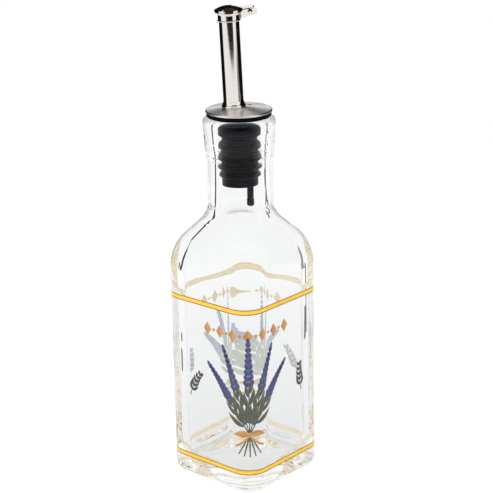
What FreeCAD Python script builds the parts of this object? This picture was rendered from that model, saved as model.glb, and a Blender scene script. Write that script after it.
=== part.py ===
"""Square glass oil bottle with a flip-top pourer, in millimetres.

The bottle stands on z = 0 with its flat sides square to X and Y. The pourer is modelled with its spout towards -Y
and its hinge towards +Y, and is then turned about the neck axis by POURER_TURN.
"""

import FreeCAD, Part
import math
import os

V = FreeCAD.Vector

# Bottle, outside
BODY_WIDTH = 52.0
CORNER_R = 9.85
HEEL_R = 3.0
SHOULDER_Z = 100.2
SHOULDER_R = 19.5
SHOULDER_SLOPE = 50.0
NECK_FLARE_R = 12.5
NECK_DIA = 29.5
NECK_LENGTH = 20.1
FINISH_FOOT_DIA = 31.1
FINISH_FOOT_RISE = 5.6
FINISH_FOOT_BOW = (0.75, 0.4)
FINISH_TOP_DIA = 32.4
FINISH_HEIGHT = 18.8
RIM_R = 2.4

# Bottle, inside
WALL = 3.7
INNER_CORNER_R = 11.0
FLOOR_THICKNESS = 6.5
FLOOR_R = 6.0
PUSH_UP_DIA = 37.0
PUSH_UP_RISE = 2.0
INNER_SHOULDER_DROP = 2.2
NECK_BORE = 20.3
THROAT_BORE = 20.0
THROAT_DEPTH = 16.2
THROAT_LENGTH = 3.0
THROAT_RELIEF = 2.6
MOUTH_BORE = 22.7
MOUTH_DEPTH = 6.0
MOUTH_LIP_R = 1.2

# Shoulder blend from the rounded square to the round neck
SIDE_BULGE_ANGLE = 30.0
SHOULDER_STEPS = 4
STRAIGHT_LEAD = 2.0

# Stopper
PLUG_LENGTH = 30.9
PLUG_CORE_DIA = 16.3
PLUG_HEAD_DIA = 19.2
PLUG_HEAD_DEPTH = 7.8
PLUG_END_R = 0.3
FIN_CLEARANCE = 0.15
FIN_DEPTHS = (12.6, 17.1, 21.6)
FIN_THICKNESS = 0.7
FIN_ROOT = 2.4
NOSE_RING_DIA = 18.7
NOSE_RING_RISE = 5.05
NOSE_RING_ROOT = 2.8
NOSE_RING_CREST = 0.7
FLANGE_DIA = 29.0
FLANGE_THICKNESS = 2.1
FLANGE_EDGE_R = 0.4
POUR_PASSAGE_DIA = 7.4

# Breather
AIR_OFFSET = 5.4
AIR_HOLE_DIA = 1.8
BREATHER_DIA = 3.1
BREATHER_BORE = 1.5
BREATHER_END_DIA = 3.5
BREATHER_END_LENGTH = 3.2
BREATHER_END_R = 0.95
BREATHER_REACH = 11.3
BREATHER_INSERT = 7.0

# Cap disc
CAP_DIA = 29.8
CAP_SHEET = 0.6
CAP_EDGE_HEIGHT = 0.85
CAP_RISE = 1.3
CAP_EDGE_R = 0.5
CAP_AIR_HOLE_DIA = 2.4

# Spout
SPOUT_DIA = 8.95
SPOUT_WALL = 0.6
SPOUT_OFFSET = 2.5
SPOUT_LEAN = 2.3
SPOUT_LENGTH = 42.85
SPOUT_INSERT = 14.0
FOOT_DIA = 10.7
FOOT_BEAD = 1.4
FOOT_BEAD_BOW = 0.5
FOOT_GROOVE = 0.2
FOOT_FLARE_DIA = 10.1
FOOT_FLARE_HEIGHT = 1.4
FOOT_FLARE_BOW = 0.3

# Hinge collar, measured along the spout from its foot
COLLAR_HEIGHT = 4.3
COLLAR_SHEET = 0.35
COLLAR_BEAD = 0.3
LIP_DIA = 12.2
LIP_HEIGHT = 1.9
LIP_BOW = (0.25, 0.4)
EAR_GAP = 5.0
EAR_SHEET = 0.9
EAR_ROOT_HEIGHT = 3.5
EAR_END_HEIGHT = 2.6
EAR_END_R = 0.7
EAR_REACH = 3.6
HINGE_REACH = 8.8
PIN_DROP = 1.25
PIN_DIA = 1.8
PIN_HEAD_DIA = 2.5
PIN_HEAD_HEIGHT = 0.5

# Lid
LID_DIA = 12.4
LID_SHEET = 0.6
LID_EDGE_HEIGHT = 0.6
LID_DOME = 1.7
ARM_THICKNESS = 0.75
ARM_SIDE_GAP = 0.2
KNUCKLE_DIA = 3.2
TAIL_LENGTH = 3.6
TAIL_RISE = 1.0
TAIL_END_R = 1.6

# Fits
SEAT_GAP = 0.02
RUNNING_GAP = 0.05
LID_GAP = 0.1

# How near two places count as one
TOLERANCE = 0.001

# How far the pourer is turned in the neck, in degrees
POURER_TURN = -18.0

# Heights that follow from the sizes above
BODY_DIAGONAL = (BODY_WIDTH / 2 - CORNER_R) * math.sqrt(2) + CORNER_R
NECK_R = NECK_DIA / 2
SLOPE = math.radians(SHOULDER_SLOPE)
SLOPE_LENGTH = (BODY_DIAGONAL - NECK_R - (SHOULDER_R + NECK_FLARE_R) * (1 - math.cos(SLOPE))) / math.sin(SLOPE)
SHOULDER_RISE = (SHOULDER_R + NECK_FLARE_R) * math.sin(SLOPE) + SLOPE_LENGTH * math.cos(SLOPE)
NECK_Z = SHOULDER_Z + SHOULDER_RISE
FINISH_Z = NECK_Z + NECK_LENGTH
RIM_Z = FINISH_Z + FINISH_HEIGHT
FLANGE_TOP_Z = RIM_Z + FLANGE_THICKNESS
CAP_RIM_Z = FLANGE_TOP_Z + CAP_EDGE_HEIGHT
FOOT_Z = CAP_RIM_Z + CAP_RISE
PLUG_END_Z = RIM_Z - PLUG_LENGTH
PIN_ALONG = SPOUT_LENGTH - PIN_DROP
LID_ALONG = SPOUT_LENGTH + LID_GAP


def revolve(edges):
    """Turns a closed outline in the XZ plane about the Z axis."""
    face = Part.Face(Part.Wire(edges))
    return face.revolve(V(0, 0, 0), V(0, 0, 1), 360)


def outline(points):
    """Edges through (radius, height) points, closed. A point of three values bows the edge to the next point."""
    edges = []
    for here, there in zip(points, points[1:] + points[:1]):
        start = V(here[0], 0, here[1])
        end = V(there[0], 0, there[1])
        if len(here) == 3:
            middle = V(here[2][0], 0, here[2][1])
            edges.append(Part.Arc(start, middle, end).toShape())
        else:
            edges.append(Part.LineSegment(start, end).toShape())
    return edges


def quarter(centre, radius, angle):
    """The middle point of a quarter round about a (radius, height) centre, at an angle in degrees."""
    turn = math.radians(angle)
    return (centre[0] + radius * math.cos(turn), centre[1] + radius * math.sin(turn))


def rounded_square(half, corner, bulge, z):
    """A square with round corners whose sides bow out by the angle bulge, all tangent, as eight edges at height z."""
    reach = 1 + math.sin(bulge) - math.cos(bulge)
    grow = (half - corner) / reach if bulge > 0 else 0.0
    centre = grow * math.sin(bulge) if bulge > 0 else half - corner
    join_x = centre + corner * math.cos(bulge)
    join_y = centre + corner * math.sin(bulge)
    middle = centre + corner / math.sqrt(2)
    edges = []
    for quarter_turn in range(4):
        side = Part.LineSegment(V(half, -join_y, z), V(half, join_y, z))
        if bulge > 0:
            side = Part.Arc(V(join_x, -join_y, z), V(half, 0, z), V(join_x, join_y, z))
        bend = Part.Arc(V(join_x, join_y, z), V(middle, middle, z), V(join_y, join_x, z))
        for curve in (side, bend):
            edge = curve.toShape()
            edge.rotate(V(0, 0, 0), V(0, 0, 1), 90 * quarter_turn)
            edges.append(edge)
    return Part.Wire(Part.__sortEdges__(edges))


def shoulder_profile():
    """(height above the shoulder's start, share of the way still square) pairs up an arc, a slope and an arc."""
    run = BODY_DIAGONAL - NECK_R
    pairs = []
    for step in range(SHOULDER_STEPS):
        turn = SLOPE * step / SHOULDER_STEPS
        pairs.append((SHOULDER_R * math.sin(turn), run - SHOULDER_R * (1 - math.cos(turn))))
    for step in range(SHOULDER_STEPS + 1):
        turn = SLOPE * (1 - step / SHOULDER_STEPS)
        pairs.append((SHOULDER_RISE - NECK_FLARE_R * math.sin(turn), NECK_FLARE_R * (1 - math.cos(turn))))
    first_end = SHOULDER_R * math.sin(SLOPE)
    pairs.insert(SHOULDER_STEPS, (first_end, run - SHOULDER_R * (1 - math.cos(SLOPE))))
    return [(rise, left / run) for rise, left in pairs]


def shoulder(half, corner, neck, start):
    """The blend from a rounded square to a round neck, with a short straight lead at both ends."""
    diagonal = (half - corner) * math.sqrt(2) + corner
    profile = shoulder_profile()
    profile.insert(0, (-STRAIGHT_LEAD, 1.0))
    profile.append((SHOULDER_RISE + STRAIGHT_LEAD, 0.0))
    wires = []
    for rise, share in profile:
        bulge = math.radians(SIDE_BULGE_ANGLE) * (1 - share)
        bend = neck + (corner - neck) * share
        spread = math.sin(bulge) / (1 + math.sin(bulge) - math.cos(bulge)) if bulge > 0 else 1.0
        reach = neck + (diagonal - neck) * share
        side = bend + (reach - bend) / (math.sqrt(2) * spread)
        wires.append(rounded_square(side, bend, bulge, start + rise))
    return Part.makeLoft(wires, True, False)


def prism(half, corner, bottom, top, edge_r):
    """An upright rounded square with its bottom edges rounded."""
    block = Part.Face(rounded_square(half, corner, 0.0, bottom)).extrude(V(0, 0, top - bottom))
    low = [edge for edge in block.Edges if edge.BoundBox.ZMax < bottom + TOLERANCE]
    return block.makeFillet(edge_r, low)


def finish_outside():
    """The round neck and the rolled finish, as one turned solid."""
    foot_top = FINISH_Z + FINISH_FOOT_RISE
    foot_r = FINISH_FOOT_DIA / 2
    top_r = FINISH_TOP_DIA / 2
    bow_out, bow_up = FINISH_FOOT_BOW
    foot_bow = (NECK_R + bow_out * (foot_r - NECK_R), FINISH_Z + bow_up * FINISH_FOOT_RISE)
    rim_bow = quarter((top_r - RIM_R, RIM_Z - RIM_R), RIM_R, 45)
    return revolve(outline([
        (0, NECK_Z + STRAIGHT_LEAD),
        (NECK_R, NECK_Z + STRAIGHT_LEAD),
        (NECK_R, FINISH_Z, foot_bow),
        (foot_r, foot_top),
        (top_r, RIM_Z - RIM_R, rim_bow),
        (top_r - RIM_R, RIM_Z),
        (0, RIM_Z),
    ]))


def bore_inside(bottom):
    """The bore of the neck: waisted at the throat and opening to the mouth."""
    bore_r = NECK_BORE / 2
    throat_r = THROAT_BORE / 2
    mouth_r = MOUTH_BORE / 2
    throat_top = RIM_Z - THROAT_DEPTH
    throat_low = throat_top - THROAT_LENGTH
    lip_bow = quarter((mouth_r + MOUTH_LIP_R, RIM_Z - MOUTH_LIP_R), MOUTH_LIP_R, 135)
    return revolve(outline([
        (0, bottom),
        (bore_r, bottom),
        (bore_r, throat_low - THROAT_RELIEF),
        (throat_r, throat_low),
        (throat_r, throat_top),
        (mouth_r, RIM_Z - MOUTH_DEPTH),
        (mouth_r, RIM_Z - MOUTH_LIP_R, lip_bow),
        (mouth_r + MOUTH_LIP_R, RIM_Z),
        (0, RIM_Z),
    ]))


def glass_bottle():
    body = prism(BODY_WIDTH / 2, CORNER_R, 0.0, SHOULDER_Z - STRAIGHT_LEAD, HEEL_R)
    blend = shoulder(BODY_WIDTH / 2, CORNER_R, NECK_R, SHOULDER_Z)
    outside = body.fuse([blend, finish_outside()])
    inner_half = BODY_WIDTH / 2 - WALL
    inner_start = SHOULDER_Z - INNER_SHOULDER_DROP
    hollow = prism(inner_half, INNER_CORNER_R, FLOOR_THICKNESS, inner_start - STRAIGHT_LEAD, FLOOR_R)
    inner_blend = shoulder(inner_half, INNER_CORNER_R, NECK_BORE / 2, inner_start)
    bore = bore_inside(inner_start + SHOULDER_RISE + STRAIGHT_LEAD)
    push_r = (PUSH_UP_DIA ** 2 / 4 + PUSH_UP_RISE ** 2) / (2 * PUSH_UP_RISE)
    push_up = Part.makeSphere(push_r, V(0, 0, PUSH_UP_RISE - push_r))
    glass = outside.cut(hollow.fuse([inner_blend, bore])).cut(push_up)
    return glass.removeSplitter()


def spout_cylinder(radius, low, high):
    """A cylinder on the leaning spout axis, between two distances from the spout's foot."""
    return on_spout(Part.makeCylinder(radius, high - low, V(0, 0, low)))


def on_spout(shape):
    """Carries a shape drawn round an upright spout at the origin to the leaning spout's place."""
    placed = shape.copy()
    placed.rotate(V(0, 0, 0), V(1, 0, 0), SPOUT_LEAN)
    placed.translate(V(0, -SPOUT_OFFSET, FOOT_Z))
    return placed


def turned(shape):
    """Turns a pourer piece about the neck axis."""
    placed = shape.copy()
    placed.rotate(V(0, 0, 0), V(0, 0, 1), POURER_TURN)
    return placed


def cap_cone(rim_r, rim_z, foot_drop):
    """The skewed cone from the disc's round rim up to the spout's foot."""
    foot = on_spout(Part.makeCircle(FOOT_DIA / 2, V(0, 0, -foot_drop)))
    rim = Part.makeCircle(rim_r, V(0, 0, rim_z))
    return Part.makeLoft([Part.Wire(rim), Part.Wire(foot)], True, True)


def fin(depth, radius, thickness, root):
    """A sealing fin with a flat top and a coned underside, at a depth below the glass rim."""
    core = PLUG_CORE_DIA / 2
    top = RIM_Z - depth
    return revolve(outline([
        (0, top),
        (radius, top),
        (radius, top - thickness),
        (core, top - root),
        (0, top - root),
    ]))


def nose_ring():
    """The low double-coned ring that leads the stopper into the neck."""
    core = PLUG_CORE_DIA / 2
    middle = PLUG_END_Z + NOSE_RING_RISE
    half = NOSE_RING_ROOT / 2
    crest = NOSE_RING_CREST / 2
    return revolve(outline([
        (0, middle - half),
        (core, middle - half),
        (NOSE_RING_DIA / 2, middle - crest),
        (NOSE_RING_DIA / 2, middle + crest),
        (core, middle + half),
        (0, middle + half),
    ]))


def stopper():
    core = PLUG_CORE_DIA / 2
    head = PLUG_HEAD_DIA / 2
    flange = FLANGE_DIA / 2
    head_low = RIM_Z - PLUG_HEAD_DEPTH
    end_bow = quarter((core - PLUG_END_R, PLUG_END_Z + PLUG_END_R), PLUG_END_R, -45)
    edge_bow = quarter((flange - FLANGE_EDGE_R, RIM_Z + FLANGE_EDGE_R), FLANGE_EDGE_R, -45)
    plug = revolve(outline([
        (0, PLUG_END_Z),
        (core - PLUG_END_R, PLUG_END_Z, end_bow),
        (core, PLUG_END_Z + PLUG_END_R),
        (core, head_low - (head - core)),
        (head, head_low),
        (head, RIM_Z),
        (flange - FLANGE_EDGE_R, RIM_Z, edge_bow),
        (flange, RIM_Z + FLANGE_EDGE_R),
        (flange, FLANGE_TOP_Z),
        (0, FLANGE_TOP_Z),
    ]))
    fin_r = THROAT_BORE / 2 - FIN_CLEARANCE
    fins = [fin(depth, fin_r, FIN_THICKNESS, FIN_ROOT) for depth in FIN_DEPTHS]
    crown_r = CAP_DIA / 2 - CAP_SHEET - SEAT_GAP
    crown_z = CAP_RIM_Z - CAP_SHEET - SEAT_GAP
    crown = cap_cone(crown_r, crown_z, CAP_SHEET + SEAT_GAP)
    step = Part.makeCylinder(crown_r, crown_z - FLANGE_TOP_Z, V(0, 0, FLANGE_TOP_Z))
    solid = plug.fuse(fins + [nose_ring(), step, crown])
    socket = spout_cylinder(SPOUT_DIA / 2 + SEAT_GAP, -SPOUT_INSERT, FOOT_DIA)
    passage_y = -SPOUT_OFFSET + SPOUT_INSERT * math.sin(math.radians(SPOUT_LEAN))
    start = PLUG_END_Z - BREATHER_REACH
    passage = Part.makeCylinder(POUR_PASSAGE_DIA / 2, FOOT_Z - start, V(0, passage_y, start))
    air = Part.makeCylinder(AIR_HOLE_DIA / 2, FOOT_Z - start, V(0, AIR_OFFSET, start))
    breather_depth = BREATHER_REACH + BREATHER_INSERT + SEAT_GAP
    breather_seat = Part.makeCylinder(BREATHER_DIA / 2 + SEAT_GAP, breather_depth, V(0, AIR_OFFSET, start))
    return turned(solid.cut([socket, passage, air, breather_seat]).removeSplitter())


def breather_tube():
    stem = BREATHER_DIA / 2
    end = BREATHER_END_DIA / 2
    low = PLUG_END_Z - BREATHER_REACH
    end_bow = quarter((end - BREATHER_END_R, low + BREATHER_END_R), BREATHER_END_R, -45)
    tube = revolve(outline([
        (BREATHER_BORE / 2, low),
        (end - BREATHER_END_R, low, end_bow),
        (end, low + BREATHER_END_R),
        (end, low + BREATHER_END_LENGTH - (end - stem)),
        (stem, low + BREATHER_END_LENGTH + (end - stem)),
        (stem, PLUG_END_Z + BREATHER_INSERT),
        (BREATHER_BORE / 2, PLUG_END_Z + BREATHER_INSERT),
    ]))
    tube.translate(V(0, AIR_OFFSET, 0))
    return turned(tube)


def cap_disc():
    rim_r = CAP_DIA / 2
    edge = Part.makeCylinder(rim_r, CAP_EDGE_HEIGHT, V(0, 0, FLANGE_TOP_Z))
    shell = edge.fuse(cap_cone(rim_r, CAP_RIM_Z, 0.0)).removeSplitter()
    shell = shell.makeFillet(CAP_EDGE_R, [e for e in shell.Edges if is_circle_at(e, rim_r, CAP_RIM_Z)])
    inner_r = rim_r - CAP_SHEET
    inner_z = CAP_RIM_Z - CAP_SHEET
    inside = Part.makeCylinder(inner_r, inner_z - FLANGE_TOP_Z, V(0, 0, FLANGE_TOP_Z))
    inside = inside.fuse(cap_cone(inner_r, inner_z, CAP_SHEET))
    spout_hole = spout_cylinder(SPOUT_DIA / 2 + SEAT_GAP, -FOOT_DIA, FOOT_DIA)
    air_hole = Part.makeCylinder(CAP_AIR_HOLE_DIA / 2, FOOT_Z - FLANGE_TOP_Z, V(0, AIR_OFFSET, FLANGE_TOP_Z))
    return turned(shell.cut([inside, spout_hole, air_hole]))


def is_circle_at(edge, radius, z):
    """True for a level round edge of that radius at that height."""
    box = edge.BoundBox
    misses = (abs(box.ZMin - z), abs(box.ZMax - z), abs(box.XMax - radius))
    return max(misses) < TOLERANCE


def spout_tube():
    outer = SPOUT_DIA / 2
    inner = outer - SPOUT_WALL
    foot = FOOT_DIA / 2
    flare = FOOT_FLARE_DIA / 2
    flare_low = FOOT_BEAD + FOOT_GROOVE
    flare_bow = (outer + FOOT_FLARE_BOW * (flare - outer), flare_low + FOOT_FLARE_HEIGHT / 2)
    tube = revolve(outline([
        (inner, -SPOUT_INSERT),
        (outer, -SPOUT_INSERT),
        (outer, 0),
        (foot - FOOT_BEAD_BOW, 0, (foot, FOOT_BEAD / 2)),
        (foot - FOOT_BEAD_BOW, FOOT_BEAD),
        (flare, flare_low, flare_bow),
        (outer, flare_low + FOOT_FLARE_HEIGHT),
        (outer, SPOUT_LENGTH),
        (inner, SPOUT_LENGTH),
    ]))
    return turned(on_spout(tube))


def ear(side):
    """One ear of the collar: a plate beside the pin, tapered from below and buried in the collar's sleeve."""
    inner_x = side * EAR_GAP / 2
    start_x = inner_x if side > 0 else inner_x - EAR_SHEET
    top = SPOUT_LENGTH
    far = HINGE_REACH + EAR_REACH
    root_y = math.sqrt((SPOUT_DIA / 2) ** 2 - (EAR_GAP / 2 - EAR_SHEET) ** 2)
    corners = [
        V(start_x, root_y, top),
        V(start_x, root_y, top - EAR_ROOT_HEIGHT),
        V(start_x, far, top - EAR_END_HEIGHT),
        V(start_x, far, top),
    ]
    plate = Part.Face(Part.makePolygon(corners + corners[:1])).extrude(V(EAR_SHEET, 0, 0))
    ends = [e for e in plate.Edges if e.BoundBox.YMin > far - TOLERANCE and e.BoundBox.XLength > EAR_SHEET / 2]
    return plate.makeFillet(EAR_END_R, ends)


def hinge_collar():
    bore = SPOUT_DIA / 2 + SEAT_GAP
    sleeve = bore + COLLAR_SHEET
    lip = LIP_DIA / 2
    top = SPOUT_LENGTH
    low = top - COLLAR_HEIGHT
    bead = sleeve + COLLAR_BEAD
    lip_low = top - LIP_HEIGHT
    bow_out, bow_down = LIP_BOW
    lip_bow = (sleeve + bow_out * (lip - sleeve), top - bow_down * LIP_HEIGHT)
    inner_bow = (lip_bow[0] - COLLAR_SHEET, lip_bow[1] + COLLAR_SHEET / 2)
    ring = revolve(outline([
        (bore, low),
        (sleeve, low, (bead, low + COLLAR_BEAD)),
        (sleeve, low + 2 * COLLAR_BEAD),
        (sleeve, lip_low, lip_bow),
        (lip, top - COLLAR_SHEET),
        (lip, top),
        (lip - COLLAR_SHEET, top, inner_bow),
        (bore, lip_low + COLLAR_SHEET),
    ]))
    solid = ring.fuse([ear(1), ear(-1)])
    bore_cut = Part.makeCylinder(bore, SPOUT_LENGTH, V(0, 0, low))
    pin_hole = pin_cylinder(PIN_DIA / 2 + SEAT_GAP, EAR_GAP + 2 * (EAR_SHEET + PIN_HEAD_HEIGHT))
    return turned(on_spout(solid.cut([bore_cut, pin_hole]).removeSplitter()))


def pin_cylinder(radius, length):
    """A cylinder on the hinge axis, centred between the ears."""
    return Part.makeCylinder(radius, length, V(-length / 2, HINGE_REACH, PIN_ALONG), V(1, 0, 0))


def hinge_pin():
    half = EAR_GAP / 2 + EAR_SHEET
    head = PIN_HEAD_DIA / 2
    pin = pin_cylinder(PIN_DIA / 2, 2 * half)
    dome_r = (head ** 2 + PIN_HEAD_HEIGHT ** 2) / (2 * PIN_HEAD_HEIGHT)
    ball = Part.makeSphere(dome_r, V(half + PIN_HEAD_HEIGHT - dome_r, HINGE_REACH, PIN_ALONG))
    slab = Part.makeCylinder(dome_r, dome_r, V(half, HINGE_REACH, PIN_ALONG), V(1, 0, 0))
    dome = ball.common(slab)
    other = dome.mirror(V(0, HINGE_REACH, PIN_ALONG), V(1, 0, 0))
    return turned(on_spout(pin.fuse([dome, other]).removeSplitter()))


def flap_lid():
    lid_r = LID_DIA / 2
    low = LID_ALONG
    edge_top = low + LID_EDGE_HEIGHT
    dome_top = edge_top + LID_DOME
    dome_r = (lid_r ** 2 + LID_DOME ** 2) / (2 * LID_DOME)
    dome_bow = (lid_r / 2, dome_top - dome_r + math.sqrt(dome_r ** 2 - lid_r ** 2 / 4))
    under_bow = (dome_bow[0], dome_bow[1] - LID_SHEET)
    cap = revolve(outline([
        (0, dome_top - LID_SHEET, under_bow),
        (lid_r - LID_SHEET, edge_top - LID_SHEET / 2),
        (lid_r - LID_SHEET, low),
        (lid_r, low),
        (lid_r, edge_top, dome_bow),
        (0, dome_top),
    ]))
    solid = cap.fuse([lid_arm(), knuckle()])
    pin_hole = pin_cylinder(PIN_DIA / 2 + RUNNING_GAP, EAR_GAP)
    return turned(on_spout(solid.cut(pin_hole).removeSplitter()))


def arm_width():
    return EAR_GAP - 2 * ARM_SIDE_GAP


def knuckle():
    """The rolled eye of the lid, round the pin."""
    return pin_cylinder(KNUCKLE_DIA / 2, arm_width())


def lid_arm():
    """The strip from the lid's edge over the knuckle to the thumb tail, which rises and has a round end."""
    half = arm_width() / 2
    start = LID_DIA / 2 - LID_SHEET
    bend = HINGE_REACH
    low = LID_ALONG
    rise = math.radians(TAIL_RISE)
    tail_y = bend + TAIL_LENGTH * math.cos(rise)
    tail_z = low + TAIL_LENGTH * math.sin(rise)
    lean_y = ARM_THICKNESS * math.sin(rise)
    lean_z = ARM_THICKNESS * math.cos(rise)
    corners = [
        V(-half, start, low),
        V(-half, bend, low),
        V(-half, tail_y, tail_z),
        V(-half, tail_y - lean_y, tail_z + lean_z),
        V(-half, bend - lean_y / 2, low + ARM_THICKNESS),
        V(-half, start, low + ARM_THICKNESS),
    ]
    strip = Part.Face(Part.makePolygon(corners + corners[:1])).extrude(V(2 * half, 0, 0))
    ends = [e for e in strip.Edges if e.BoundBox.YMin > bend + TAIL_LENGTH / 2 and e.BoundBox.XLength < half]
    return strip.makeFillet(TAIL_END_R, ends)


def main():
    os.makedirs("parts", exist_ok=True)
    pieces = (
        glass_bottle,
        stopper,
        breather_tube,
        cap_disc,
        spout_tube,
        hinge_collar,
        hinge_pin,
        flap_lid,
    )
    for piece in pieces:
        shape = piece()
        solids = len(shape.Solids)
        print(f"{piece.__name__}: {solids} solid, {shape.Volume:.1f} mm3, valid {shape.isValid()}")
        shape.exportStep(f"parts/{piece.__name__}.step")
    turn = math.radians(POURER_TURN)
    lean = math.radians(SPOUT_LEAN)
    pin_y = -SPOUT_OFFSET + HINGE_REACH * math.cos(lean) - PIN_ALONG * math.sin(lean)
    pin_z = FOOT_Z + HINGE_REACH * math.sin(lean) + PIN_ALONG * math.cos(lean)
    print(f"rim height {RIM_Z:.2f}, cap rim {CAP_RIM_Z:.2f}, spout foot {FOOT_Z:.2f}")
    print(f"hinge pin at {-pin_y * math.sin(turn):.3f}, {pin_y * math.cos(turn):.3f}, {pin_z:.3f}")


main()
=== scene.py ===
"""Looks of a square glass oil bottle with a flip-top pourer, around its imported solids.

Lengths are written in millimetres and turned to metres by MM, except those of the table and the dark cards, which are
in metres. The bottle stands on z = 0 with its flat sides square to X and Y, and the print is centred on the corner
between the -Y and the +X side, which faces the camera.
"""

import math

import bmesh
import bpy
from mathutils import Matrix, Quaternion, Vector


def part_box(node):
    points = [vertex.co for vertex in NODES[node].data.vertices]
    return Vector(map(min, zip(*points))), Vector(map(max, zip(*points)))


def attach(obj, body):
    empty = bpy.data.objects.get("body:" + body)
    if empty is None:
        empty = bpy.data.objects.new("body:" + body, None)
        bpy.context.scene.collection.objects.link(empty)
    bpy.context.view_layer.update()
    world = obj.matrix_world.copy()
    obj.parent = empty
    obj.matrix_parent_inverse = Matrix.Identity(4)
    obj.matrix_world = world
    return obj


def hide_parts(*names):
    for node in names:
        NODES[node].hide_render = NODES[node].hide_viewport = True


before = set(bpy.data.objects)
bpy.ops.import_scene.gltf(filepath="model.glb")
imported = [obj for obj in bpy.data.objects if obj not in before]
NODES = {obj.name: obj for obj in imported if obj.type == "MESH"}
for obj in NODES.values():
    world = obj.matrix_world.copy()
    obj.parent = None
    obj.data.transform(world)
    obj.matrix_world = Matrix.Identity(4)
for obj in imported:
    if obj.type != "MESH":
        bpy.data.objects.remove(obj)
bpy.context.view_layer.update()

MM = 0.001
_, GLASS_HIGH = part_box("glass_bottle")

# Bottle, outside
BODY_HALF = GLASS_HIGH.x / MM
RIM_Z = GLASS_HIGH.z / MM
CORNER_R = 9.85
HEEL_R = 3.0
SHOULDER_Z = 100.2
SHOULDER_R = 19.5
SHOULDER_SLOPE = math.radians(50.0)
NECK_FLARE_R = 12.5
NECK_R = 14.75
NECK_LENGTH = 20.1
FINISH_FOOT_R = 15.55
FINISH_FOOT_RISE = 5.6
FINISH_FOOT_BOW = (0.75, 0.4)
FINISH_FOOT_LEDGE = 0.5
FINISH_TOP_LEDGE = 0.25
FINISH_TOP_R = 16.2
FINISH_HEIGHT = 18.8
RIM_R = 2.4
PUSH_UP_R = 18.5
PUSH_UP_RISE = 2.0

# Bottle, inside
WALL = 3.7
INNER_CORNER_R = 11.0
FLOOR_Z = 6.5
FLOOR_R = 6.0
INNER_SHOULDER_DROP = 2.2
BORE_R = 10.15
THROAT_R = 10.0
THROAT_DEPTH = 16.2
THROAT_LENGTH = 3.0
THROAT_RELIEF = 2.6
MOUTH_R = 11.35
MOUTH_DEPTH = 6.0
MOUTH_LIP_R = 1.2
SIDE_BULGE = math.radians(30.0)

# Glass mesh: points across a corner and across a side, rings along its rounds and about how far apart they are
# elsewhere, and how near a ring keeps a crease
CORNER_POINTS = 14
SIDE_POINTS = 10
ROUND_RINGS = 7
LIP_RINGS = 4
BODY_STEP = 6.0
NECK_STEP = 3.0
FINISH_STEP = 2.5
BORE_STEP = 1.5
CREASE = 0.3
LEDGE_RISE = CREASE / 3

# Heights that follow from the sizes above
BODY_DIAGONAL = (BODY_HALF - CORNER_R) * math.sqrt(2) + CORNER_R
FINISH_Z = RIM_Z - FINISH_HEIGHT
NECK_Z = FINISH_Z - NECK_LENGTH
SHOULDER_RISE = NECK_Z - SHOULDER_Z

# Enamel print
BAND_HEIGHTS = (10.12, 87.57)
BAND_LINE = 0.45
BAND_YELLOW = 1.6
BAND_PROUD = 0.02
BAND_THICKNESS = 0.07
PRINT_PROUD = 0.02
PRINT_THICKNESS = 0.02
PRINT_WELD = 0.0005

# Material slots of the bands and of the print, each followed by the slot of its back
BROWN, YELLOW = 0, 2
BAND_FINISHES = ("brown", "brown_back", "yellow", "yellow_back")
OCHRE, LEAF, FLORET, INK = 0, 2, 4, 6
PRINT_FINISHES = ("ochre", "ochre_back", "leaf", "leaf_back", "floret", "floret_back", "ink", "ink_back")

# How much more proud than PRINT_PROUD each layer of strokes is, so that an upper one covers a lower one
STEM_LAYER = 0.022
INK_STEM_LAYER = 0.024
LEAF_LAYER = 0.028
LEAF_LAYER_STEP = 0.002
INK_LEAF_LAYER = 0.03
FRIEZE_LAYER = 0.03
FLORET_LAYER = 0.034
FLORET_LAYER_STEP = 0.001
TIP_LAYER = 0.045
RIBBON_END_LAYER = 0.046
RIBBON_LOOP_LAYER = 0.048
KNOT_LAYER = 0.055

# Strokes: the share of a path on either side of a point that gives its heading there, and the faces along and across
HEADING_SHARE = 0.01
STEM_STEPS = 36
TAIL_STEPS = 10
LEAF_STEPS = 14
OVAL_STEPS = 7
RIBBON_STEPS = 12
RIBBON_COLUMNS = 3
LOZENGE_STEPS = 8
LOZENGE_COLUMNS = 4
DOT_STEPS = 4
INK_STEM_STEPS = 20
INK_LEAF_STEPS = 8

# Lavender: the tie is a distance along the body's outline from the front corner and a height. Angles and spreads are
# in degrees, a stem's or a tail's lean and bow are shares of its sprig's angle, and other bows are in radians. A pair
# is a first size and how much each next one is smaller.
TIE = (0.0, 29.0)
SPRIG_ANGLES = (-36, -18, 0, 18, 36)
SPRIG_LENGTHS = (37, 42, 45, 42, 37)
STEM_LEAN = 0.75
STEM_BOW = 0.5
STEM_WIDTH = 0.55
TAIL_LEAN = 0.8
TAIL_LENGTH = 11.0
TAIL_WIDTH = 0.65
LEAF_SHARES = (0.14, 0.3, 0.42)
LEAF_STAGGER = 0.02
LEAF_SPREADS = (34, 5)
LEAF_LENGTHS = (10.5, 1.5)
LEAF_WIDTHS = (2.3, 0.25)
LEAF_BOW = -0.5
SPIKE_SHARE = 0.52
FLORET_ROWS = 8
FLORET_SPREADS = (46, 3)
FLORET_LENGTHS = (3.9, 0.2)
FLORET_WIDTHS = (2.15, 0.08)
FLORET_BOW = -0.5
TIP_SHARE = 0.97
TIP_LENGTH = 3.2
TIP_WIDTH = 1.6

# Ribbon, with spreads in degrees and bows in radians
LOOP_SPREAD = 78
LOOP_LENGTH = 7.5
LOOP_BOW = 0.5
LOOP_WIDTH = 3.4
END_SPREAD = 150
END_LENGTH = 9.0
END_BOW = -0.7
END_WIDTH = 1.0
KNOT_HEIGHT = 2.6
KNOT_WIDTH = 2.2

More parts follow.
